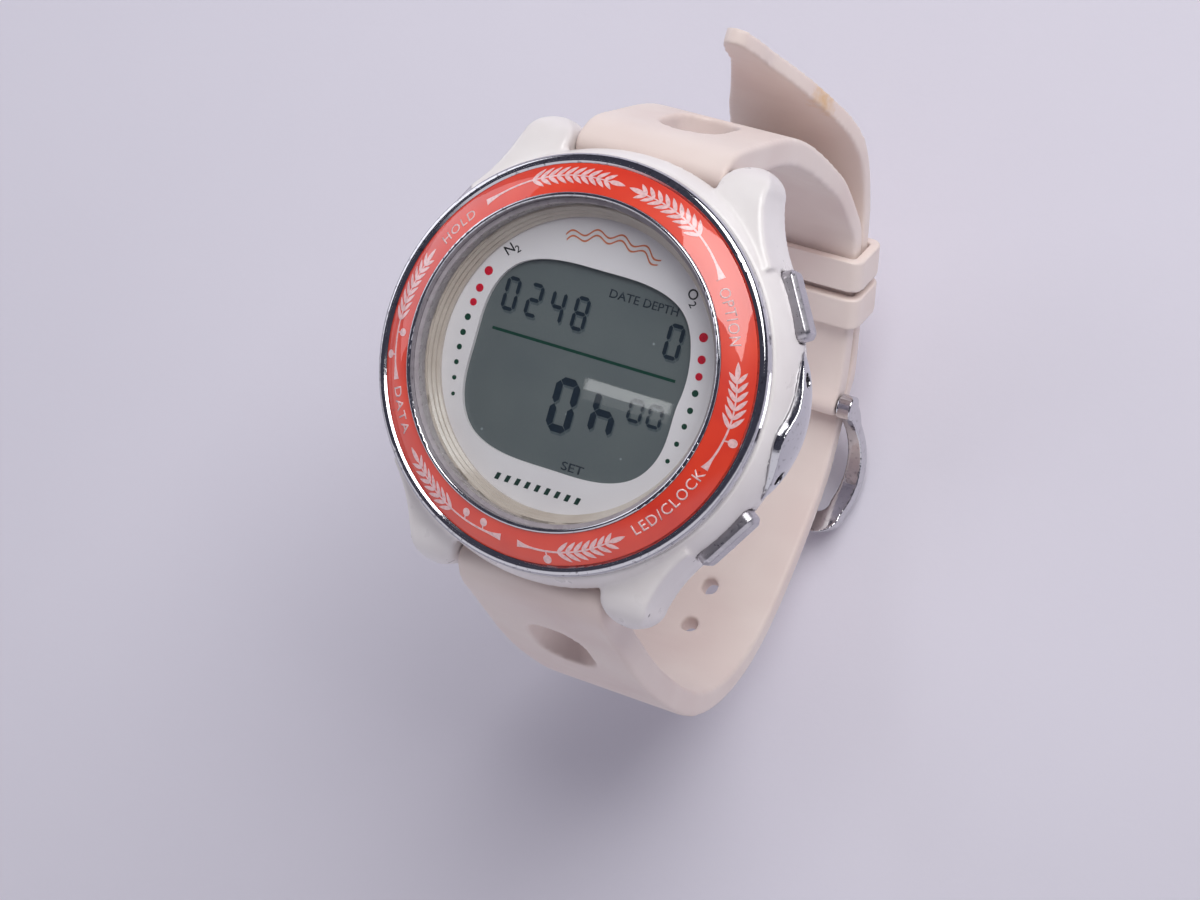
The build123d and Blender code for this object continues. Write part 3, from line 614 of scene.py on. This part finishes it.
# Generic function words beside the pushers: word, first and last angle, and whether the tops point outward
LABELS = (
    ("HOLD", 153.2, 139.0, True),
    ("OPTION", 38.8, 20.4, True),
    ("DATA", -157.4, -142.0, False),
    ("LED/CLOCK", -48.6, -19.6, False),
)
LABEL_HEIGHT = 1.12
LABEL_SPACING = 1.15
LABEL_BOLD = 0.004
LABEL_MID_R = INSERT_MID_R - 0.15


def bezel_labels():
    """The words printed on the insert."""
    ink = print_ink("label_ink", (244, 206, 204), 0.4, coat=1.0)
    for words, first, last, outward in LABELS:
        width = abs(radians(last - first)) * INSERT_MID_R

        def place(x, y, first=first, outward=outward):
            sense = -1 if outward else 1
            rise = (y - LABEL_HEIGHT / 2) * (1 if outward else -1)
            return on_insert(first + sense * x / INSERT_MID_R * 180 / pi, LABEL_MID_R + rise)

        name = "bezel_label_" + words.lower().replace("/", "_")
        printed_words(
            name, words, LABEL_HEIGHT, place, ink, "dial_white", LABEL_BOLD, width, LABEL_SPACING
        )


# ---------------------------------------------------------------- dial printing

DOT_RED_ANGLES = {"left": (151.2, 159.3, 166.0), "right": (26.9, 17.8, 10.6)}
DOT_GREEN_ANGLES = {
    "left": (173.0, 180.1, 186.8, 193.6, 200.4, 207.2),
    "right": (3.3, -4.4, -11.6, -19.6, -27.5),
}
# Radius of the first dot of each colour and how much each next one loses
DOT_SIZES = {"red": (0.5, 0.045), "green": (0.37, 0.03)}
# The dots' own circle: its radius at 3 and 9 o'clock, and at the angle where the scale ends
DOT_MID_R = 13.96
DOT_END_R = 14.83
DOT_END_ANGLE = 29
DIAL_INK_LIFT = 0.02


def on_dial(x, y):
    """A point just above the dial."""
    return Vector((x, y, top_of("dial_plate") + DIAL_INK_LIFT))


def dial_dots():
    """The two load scales: three red dots above shrinking green ones on each side."""
    red = print_ink("dot_red", (222, 22, 52))
    green = print_ink("dot_green", (22, 70, 52))
    for side in ("left", "right"):
        middle = 180 if side == "left" else 0
        for colour, ink, angles in (("red", red, DOT_RED_ANGLES), ("green", green, DOT_GREEN_ANGLES)):
            largest, loss = DOT_SIZES[colour]
            shapes = []
            for number, angle in enumerate(angles[side]):
                away = abs(angle - middle) / DOT_END_ANGLE
                radius = DOT_MID_R + (DOT_END_R - DOT_MID_R) * away ** 2
                x, y = radius * cos(radians(angle)), radius * sin(radians(angle))
                shapes.append(disc_rows(x, y, largest - loss * number))
            piece = sheet_mesh(f"dial_dots_{side}_{colour}", shapes, on_dial, INK_THICKNESS)
            place_piece(piece, WATCH, "dial_white", material=ink)


# Letter of each gas symbol, and the angles of the letter and of its small 2
SYMBOLS = (("N", 138.9, 134.4), ("O", 45.6, 40.6))
# Height of the letter and of the small 2, and how far each stands inside the symbols' circle
LETTER_SIZE = (1.15, 0.0)
SMALL_SIZE = (0.85, 0.38)
SYMBOL_R = 14.55
SYMBOL_MIDDLE = 0.5
SYMBOL_BOLD = 0.01


def dial_symbols():
    """The gas symbols over the two scales."""
    ink = print_ink("dial_black", (26, 26, 30))
    for letter, angle, low_angle in SYMBOLS:
        for words, at, (height, lower) in ((letter, angle, LETTER_SIZE), ("2", low_angle, SMALL_SIZE)):
            turn = radians(at)

            def place(x, y, turn=turn, lower=lower):
                radius = SYMBOL_R - lower + y
                along = x - SYMBOL_MIDDLE
                c, s = cos(turn), sin(turn)
                return on_dial(radius * c + along * s, radius * s - along * c)

            name = "dial_symbol_" + letter.lower() + ("_2" if words == "2" else "")
            printed_words(name, words, height, place, ink, "dial_white", SYMBOL_BOLD)


# The motifs stand a little off the middle: the waves to the right, the bars to the left
MOTIF_SHIFT = 0.4
WAVE_LENGTH = 11.6
WAVE_PITCH = 2.9
WAVE_SWING = 0.34
WAVE_HALF_WIDTH = 0.1
WAVE_OFFSETS = (-0.45, 0.15)
WAVE_ARC_R = 14.2
BAR_COUNT = 9
BAR_PITCH = 1.22
BAR_HALF_WIDTH = 0.36
BAR_HALF_HEIGHT = 0.38
BARS_Y = -13.75


def wave_rows(steps=60):
    """A band that waves along x, with its middle at 0."""
    rows = []
    for step in range(steps + 1):
        x = WAVE_LENGTH * step / steps
        y = WAVE_SWING * sin(2 * pi * x / WAVE_PITCH)
        across = x - WAVE_LENGTH / 2
        rows.append([(across, y - WAVE_HALF_WIDTH), (across, y + WAVE_HALF_WIDTH)])
    return rows


def bar_rows(x):
    """A slanted bar about x."""
    wide, narrow = BAR_HALF_WIDTH, BAR_HALF_WIDTH * 0.4
    foot = [(x - wide, -BAR_HALF_HEIGHT), (x + narrow, -BAR_HALF_HEIGHT)]
    return [foot, [(x - narrow, BAR_HALF_HEIGHT), (x + wide, BAR_HALF_HEIGHT)]]


def dial_motifs():
    """A plain double wave at 12 o'clock and a row of bars at 6 o'clock."""
    orange = print_ink("motif_orange", (226, 130, 92))
    green = print_ink("motif_green", (28, 60, 50))

    def on_arc(x, y):
        turn = x / WAVE_ARC_R
        radius = WAVE_ARC_R + y
        return on_dial(radius * sin(turn) + MOTIF_SHIFT, radius * cos(turn))

    def under_window(x, y):
        return on_dial(x - MOTIF_SHIFT, BARS_Y + y)

    waves = [moved(wave_rows(), 0, y) for y in WAVE_OFFSETS]
    piece = sheet_mesh("dial_waves", waves, on_arc, INK_THICKNESS)
    place_piece(piece, WATCH, "dial_white", material=orange)
    bars = [bar_rows((number - BAR_COUNT // 2) * BAR_PITCH) for number in range(BAR_COUNT)]
    piece = sheet_mesh("dial_bars", bars, under_window, INK_THICKNESS)
    place_piece(piece, WATCH, "dial_white", material=green)


# ---------------------------------------------------------------- display

SEGMENTS = {
    "a": ("top_left", "top_right"),
    "b": ("top_right", "mid_right"),
    "c": ("mid_right", "low_right"),
    "d": ("low_left", "low_right"),
    "e": ("mid_left", "low_left"),
    "f": ("top_left", "mid_left"),
    "g": ("mid_left", "mid_right"),
}
CHARACTERS = {
    "0": "abcdef",
    "2": "abdeg",
    "4": "bcfg",
    "8": "abcdefg",
    "h": "cefg",
}
# Characters, left edge, foot, width, height, stroke and pitch of each group
READINGS = (
    ("0248", -10.8, 3.55, 1.75, 3.75, 0.42, 2.83),
    ("0", 8.85, 3.4, 1.9, 3.85, 0.44, 0.0),
    ("0", -1.9, -7.45, 2.95, 5.95, 0.82, 0.0),
    ("h", 2.9, -6.55, 2.9, 5.0, 0.74, 0.0),
    ("00", 6.9, -4.05, 1.75, 2.55, 0.36, 2.3),
)
SEGMENT_GAP = 0.05
SEGMENT_POINT = 0.04
SHADOW_SHIFT = Vector((0.16, -0.26, -0.01))
DISPLAY_INK = 0.02
DISPLAY_LIFT = 0.015
# Word, left edge, foot and width
DISPLAY_WORDS = (("DATE", 1.15, 8.0, 3.6), ("DEPTH", 5.2, 8.0, 4.2), ("SET", 1.25, -11.05, 2.7))
DISPLAY_WORD_HEIGHT = 0.95
DISPLAY_WORD_BOLD = 0.012
LINE_START_X = -11.0
LINE_LENGTH = 22.2
LINE_Y = 1.38
LINE_HALF_WIDTH = 0.16


def segment_shape(start, end, stroke):
    """One bar with pointed ends between two corners of a character."""
    start, end = Vector(start), Vector(end)
    along = (end - start).normalized()
    across = Vector((-along.y, along.x)) * stroke / 2
    tip_from, tip_to = start + along * SEGMENT_GAP, end - along * SEGMENT_GAP
    wide_from, wide_to = tip_from + along * stroke / 2, tip_to - along * stroke / 2
    rows = [
        (tip_from - across * SEGMENT_POINT, tip_from + across * SEGMENT_POINT),
        (wide_from - across, wide_from + across),
        (wide_to - across, wide_to + across),
        (tip_to - across * SEGMENT_POINT, tip_to + across * SEGMENT_POINT),
    ]
    return [[tuple(point) for point in row] for row in rows]


def character_shapes(character, x, y, width, height, stroke):
    """The bars of one character whose lower left corner is at x, y."""
    left, right = x + stroke / 2, x + width - stroke / 2
    low, high = y + stroke / 2, y + height - stroke / 2
    middle = (low + high) / 2
    corners = {}
    for side, column in (("left", left), ("right", right)):
        for level, row in (("low", low), ("mid", middle), ("top", high)):
            corners[f"{level}_{side}"] = (column, row)
    return [
        segment_shape(corners[SEGMENTS[key][0]], corners[SEGMENTS[key][1]], stroke)
        for key in CHARACTERS[character]
    ]


def on_display(x, y):
    """A point just above the display cell."""
    return Vector((x, y, top_of("lcd_panel") + DISPLAY_LIFT))


def display_readings():
    """The readings, and the dim shadow that they cast on the reflector behind."""
    dark = print_ink("segment_dark", (26, 40, 52), 0.35)
    dim = print_ink("segment_shadow", (84, 94, 98), 0.5)
    shapes = []
    for characters, x, y, width, height, stroke, pitch in READINGS:
        for number, character in enumerate(characters):
            shapes += character_shapes(character, x + number * pitch, y, width, height, stroke)

    def shadow_place(x, y):
        return on_display(x, y) + SHADOW_SHIFT

    piece = sheet_mesh("display_segments", shapes, on_display, DISPLAY_INK)
    place_piece(piece, WATCH, "lcd_glass", material=dark)
    piece = sheet_mesh("display_segment_shadows", shapes, shadow_place, DISPLAY_INK)
    place_piece(piece, WATCH, "lcd_glass", material=dim)
    for words, x, y, width in DISPLAY_WORDS:

        def place(px, py, x=x, y=y):
            return on_display(x + px, y + py)

        name = "display_word_" + words.lower()
        printed_words(name, words, DISPLAY_WORD_HEIGHT, place, dark, "lcd_glass", DISPLAY_WORD_BOLD, width)


def display_line(steps=20):
    """The green line printed across the display."""
    green = print_ink("line_green", (6, 62, 48))
    rows = []
    for step in range(steps + 1):
        x = LINE_START_X + LINE_LENGTH * step / steps
        rows.append([(x, LINE_Y - LINE_HALF_WIDTH), (x, LINE_Y + LINE_HALF_WIDTH)])
    piece = sheet_mesh("display_line", [rows], on_display, DISPLAY_INK)
    place_piece(piece, WATCH, "lcd_glass", material=green)


# ---------------------------------------------------------------- moulded and polished pieces

# CAD node, grid size in millimetres, smoothing passes, body, material slot
SOFTENED = [
    ("case_body", 0.25, 3, WATCH, "case_plastic"),
    ("strap_upper", 0.28, 5, WATCH, "strap_rubber"),
    ("strap_lower", 0.28, 5, WATCH, "strap_rubber"),
    ("keeper_fixed", 0.2, 4, WATCH, "strap_rubber"),
    ("keeper_free", 0.2, 4, "keeper_free", "strap_rubber"),
    ("buckle_frame", 0.12, 5, "buckle_frame", "polished_steel"),
    ("buckle_tang", 0.1, 5, "buckle_tang", "polished_steel"),
    ("side_guard_right", 0.1, 4, WATCH, "polished_steel"),
    ("side_guard_left", 0.1, 4, WATCH, "polished_steel"),
]
for corner in CORNERS:
    SOFTENED.append((f"pusher_{corner}", 0.09, 3, f"pusher_{corner}", "satin_steel"))


def soften_pieces():
    """Replace the visible moulded and polished nodes with eased ones."""
    for node, grain, passes, body, slot in SOFTENED:
        soften(node, grain, passes, body, slot)


# ---------------------------------------------------------------- floor, light and camera

# The camera and the lamps stand about the dial; directions are in the row frame
CAMERA_PLACE = Vector((111.5, 8.7, 263.1))
CAMERA_RIGHT = Vector((0.8802, 0.2753, -0.3867))
CAMERA_UP = Vector((-0.2767, 0.9595, 0.0534))
CAMERA_LENS = 78
UPWARD = Vector((0.0, 0.815, 0.58))
# The place that the softboxes look at; and of each its name, direction, distance, size, power and tint
LIT_PLACE = (0, 0, -15)
SOFTBOXES = (
    ("softbox_top", (0.32, 0.62, 0.72), 0.7, (0.5, 0.5), 4.4, (1, 1, 1)),
    ("softbox_left", (-0.9, 0.3, 0.35), 0.8, (0.6, 0.6), 1.9, (0.93, 0.93, 1.0)),
)
# From the glass, the way in which the camera's view is mirrored
GLASS_MIRRORED_VIEW = Vector((-0.3825, -0.0377, 0.9231))
# The spot on the glass where each tube shows, its width and its power
TUBES = (((8.4, -0.9, 13.3), 0.0065, 0.0030), ((9.0, -3.6, 13.3), 0.012, 0.0010))
TUBE_DISTANCE = 1.2
TUBE_LENGTH = 0.05
FLOOR_HALF = 3.0
FLOOR_GAP = 0.0004
# The surroundings below the horizon, above it, and where the camera sees them
LOW_SKY = (0.80, 0.79, 0.86, 1)
HIGH_SKY = (0.06, 0.06, 0.085, 1)
SEEN_SKY = (0.66, 0.65, 0.74, 1)
# Where the change from low to high begins and ends, from 0 straight down to 1 straight up
HORIZON = (0.44, 0.53)


def floor_finish():
    """Pale matt paper."""
    finish = Finish("floor_paper", rgb(226, 222, 232), 0.9)
    finish.link(finish.mix(finish.noise(60.0), rgb(228, 224, 234), rgb(222, 218, 229)), "Base Color")
    finish.bump(finish.noise(1.0), 0.02)
    return finish.material


def add_floor():
    """A plain pale floor under the lowest point."""
    height = cad_box[0].z - FLOOR_GAP
    mesh = bpy.data.meshes.new("floor")
    corners = [(x * FLOOR_HALF, y * FLOOR_HALF, height) for x, y in ((-1, -1), (1, -1), (1, 1), (-1, 1))]
    mesh.from_pydata(corners, [], [(0, 1, 2, 3)])
    floor = new_object("floor", mesh)
    floor.data.materials.append(floor_finish())


def add_lamp(name, target, direction, distance, size, power, tint=(1, 1, 1)):
    """A soft rectangle of light that looks at a target in millimetres, its first side level along X."""
    lamp = bpy.data.lights.new(name, "AREA")
    lamp.shape = "RECTANGLE"
    lamp.size, lamp.size_y = size
    lamp.energy = power
    lamp.color = tint
    away = Vector(direction).normalized()
    level = (Vector((1, 0, 0)) - away * away.x).normalized()
    turn = Matrix((level, away.cross(level), away)).transposed()
    holder = new_object(name, lamp)
    holder.matrix_world = Matrix.Translation(Vector(target) * MM + away * distance) @ turn.to_4x4()


def add_lights():
    """A large soft light overhead, a weak one from the left, and two thin tubes that show in the glass."""
    for name, direction, distance, size, power, tint in SOFTBOXES:
        add_lamp(name, LIT_PLACE, direction, distance, size, power, tint)
    for number, (place, width, power) in enumerate(TUBES, 1):
        size = (TUBE_LENGTH, width)
        add_lamp(f"tube_{number}", place, GLASS_MIRRORED_VIEW, TUBE_DISTANCE, size, power)


def add_world():
    """Plain studio surroundings: pale below the horizon, dim above, and even where the camera sees them."""
    world = bpy.data.worlds.new("studio")
    world.use_nodes = True
    tree = world.node_tree
    background = tree.nodes["Background"]
    place = tree.nodes.new("ShaderNodeTexCoord")
    level = tree.nodes.new("ShaderNodeVectorMath")
    level.operation = "DOT_PRODUCT"
    level.inputs[1].default_value = UPWARD
    tree.links.new(place.outputs["Generated"], level.inputs[0])
    ramp = tree.nodes.new("ShaderNodeValToRGB")
    stops = ramp.color_ramp.elements
    for stop, position, colour in zip(stops, HORIZON, (LOW_SKY, HIGH_SKY)):
        stop.position = position
        stop.color = colour
    shifted = tree.nodes.new("ShaderNodeMapRange")
    shifted.inputs["From Min"].default_value = -1
    tree.links.new(level.outputs["Value"], shifted.inputs["Value"])
    tree.links.new(shifted.outputs[0], ramp.inputs[0])
    seen = tree.nodes.new("ShaderNodeLightPath")
    choice = tree.nodes.new("ShaderNodeMix")
    choice.data_type = "RGBA"
    choice.inputs[MIX_SECOND].default_value = SEEN_SKY
    tree.links.new(seen.outputs["Is Camera Ray"], choice.inputs[0])
    tree.links.new(ramp.outputs[0], choice.inputs[MIX_FIRST])
    tree.links.new(choice.outputs[MIX_RESULT], background.inputs["Color"])
    bpy.context.scene.world = world


def add_camera():
    """The camera at the photograph's angle."""
    lens = bpy.data.cameras.new("camera")
    lens.lens = CAMERA_LENS
    lens.clip_start = 0.005
    camera = new_object("camera", lens)
    back = CAMERA_RIGHT.cross(CAMERA_UP)
    turn = Matrix((CAMERA_RIGHT, CAMERA_UP, back)).transposed()
    camera.matrix_world = Matrix.Translation(CAMERA_PLACE * MM) @ turn.to_4x4()
    bpy.context.scene.camera = camera


paint_frame()
soften_pieces()
bezel_sprigs()
bezel_labels()
dial_dots()
dial_symbols()
dial_motifs()
display_readings()
display_line()
add_floor()
add_lights()
add_world()
add_camera()
bpy.context.scene.view_settings.view_transform = "Standard"
